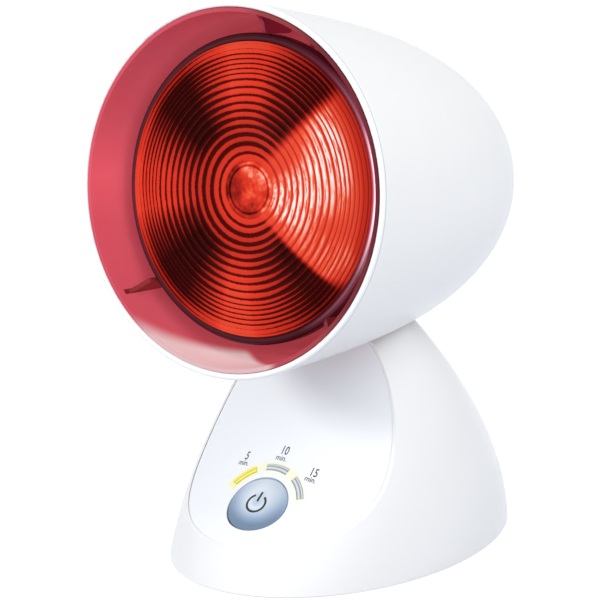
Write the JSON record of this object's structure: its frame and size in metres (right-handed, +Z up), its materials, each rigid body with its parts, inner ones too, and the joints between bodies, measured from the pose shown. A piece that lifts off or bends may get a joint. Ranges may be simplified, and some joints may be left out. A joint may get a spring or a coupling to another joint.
{
  "type": "infrared heat therapy lamp",
  "caption": "Table lamp for infrared warmth: bell shaped head with a red reflector bulb, tilting on an oval moulded base with a timer button and light bars",
  "frame": {"origin": "centre of the footprint, on the resting plane", "axes": "+Z up, front (lamp opening and control fascia) towards -Y, symmetric about X = 0"},
  "size_m": [0.1472, 0.1748, 0.2342],
  "materials": {
    "white_shell": "smooth high gloss white moulding",
    "white_fascia": "satin gloss white moulding with printed marks",
    "shade": "light lacquered sheet, lit red by the bulb",
    "red_lens": "pressed ruby glass with ring prisms",
    "red_glass": "ruby glass, mirrored inside",
    "cap_metal": "rolled screw cap",
    "black_glass": "vitrite insulator",
    "contact_brass": "bright brass",
    "clear_glass": "clear stem glass",
    "wire_metal": "drawn wire",
    "holder_ceramic": "unglazed steatite",
    "plate_steel": "zinc plated sheet",
    "screw_steel": "zinc plated",
    "axle_steel": "ground steel",
    "cam_plastic": "glass filled nylon",
    "neck_plastic": "glass filled moulding",
    "washer_rubber": "fibre reinforced friction disc",
    "spring_steel": "blue tempered strip",
    "silicone": "translucent silicone",
    "black_plastic": "black moulding",
    "board_green": "solder masked board",
    "led_clear": "clear diode bodies",
    "lit_guide": "lit yellow light guide",
    "grey_guide": "unlit clear grey light guide",
    "plate_plastic": "fine textured moulding",
    "pad_rubber": "soft anti-slip rubber",
    "relay_black": "black case",
    "capacitor_case": "yellow box film capacitor",
    "terminal_green": "green terminal block",
    "gland_plastic": "white bush",
    "button_blue": "blue grey metallic lacquer"
  },
  "bodies": {
    "base": {"base_shell": "white_shell", "base_fascia": "white_fascia", "neck_cap": "neck_plastic", "cap_screws": "screw_steel", "friction_washers": "washer_rubber", "detent_spring": "spring_steel", "button_dome": "silicone", "tact_switch": "black_plastic", "control_board": "board_green", "board_screws": "screw_steel", "board_leds": "led_clear", "light_guide_5": "lit_guide", "light_guide_10": "grey_guide", "light_guide_15": "grey_guide", "base_plate": "plate_plastic", "grip_pads": "pad_rubber", "plate_screws": "screw_steel", "power_board": "board_green", "power_screws": "screw_steel", "relay": "relay_black", "capacitor": "capacitor_case", "buzzer": "black_plastic", "terminal_block": "terminal_green", "cable_gland": "gland_plastic"},
    "head": {"head_shell": "white_shell", "shade_liner": "shade", "bulb_lens": "red_lens", "bulb_reflector": "red_glass", "bulb_cap": "cap_metal", "bulb_insulator": "black_glass", "bulb_contact": "contact_brass", "bulb_stem": "clear_glass", "bulb_filament": "wire_metal", "lamp_holder": "holder_ceramic", "holder_thread": "contact_brass", "holder_bracket": "plate_steel", "bracket_screws": "screw_steel", "hinge_ear_right": "plate_steel", "hinge_ear_left": "plate_steel", "ear_screws": "screw_steel", "hinge_axle": "axle_steel", "axle_clip": "axle_steel", "detent_cam": "cam_plastic"},
    "button": {"power_button": "button_blue"}
  },
  "joints": [
    {"name": "head_tilt", "type": "hinge", "parent": "base", "child": "head", "pos_m": [0, 0.006, 0.1055], "axis": [-1, 0, 0], "range_deg": [-6.5, 19.5]},
    {"name": "button_press", "type": "slide", "parent": "base", "child": "button", "axis": [0, 0.6225, -0.7826], "range_m": [0, 0.0008], "stiffness_N_per_m": 800, "springref_m": -0.0006, "deforming": ["button_dome"]}
  ]
}
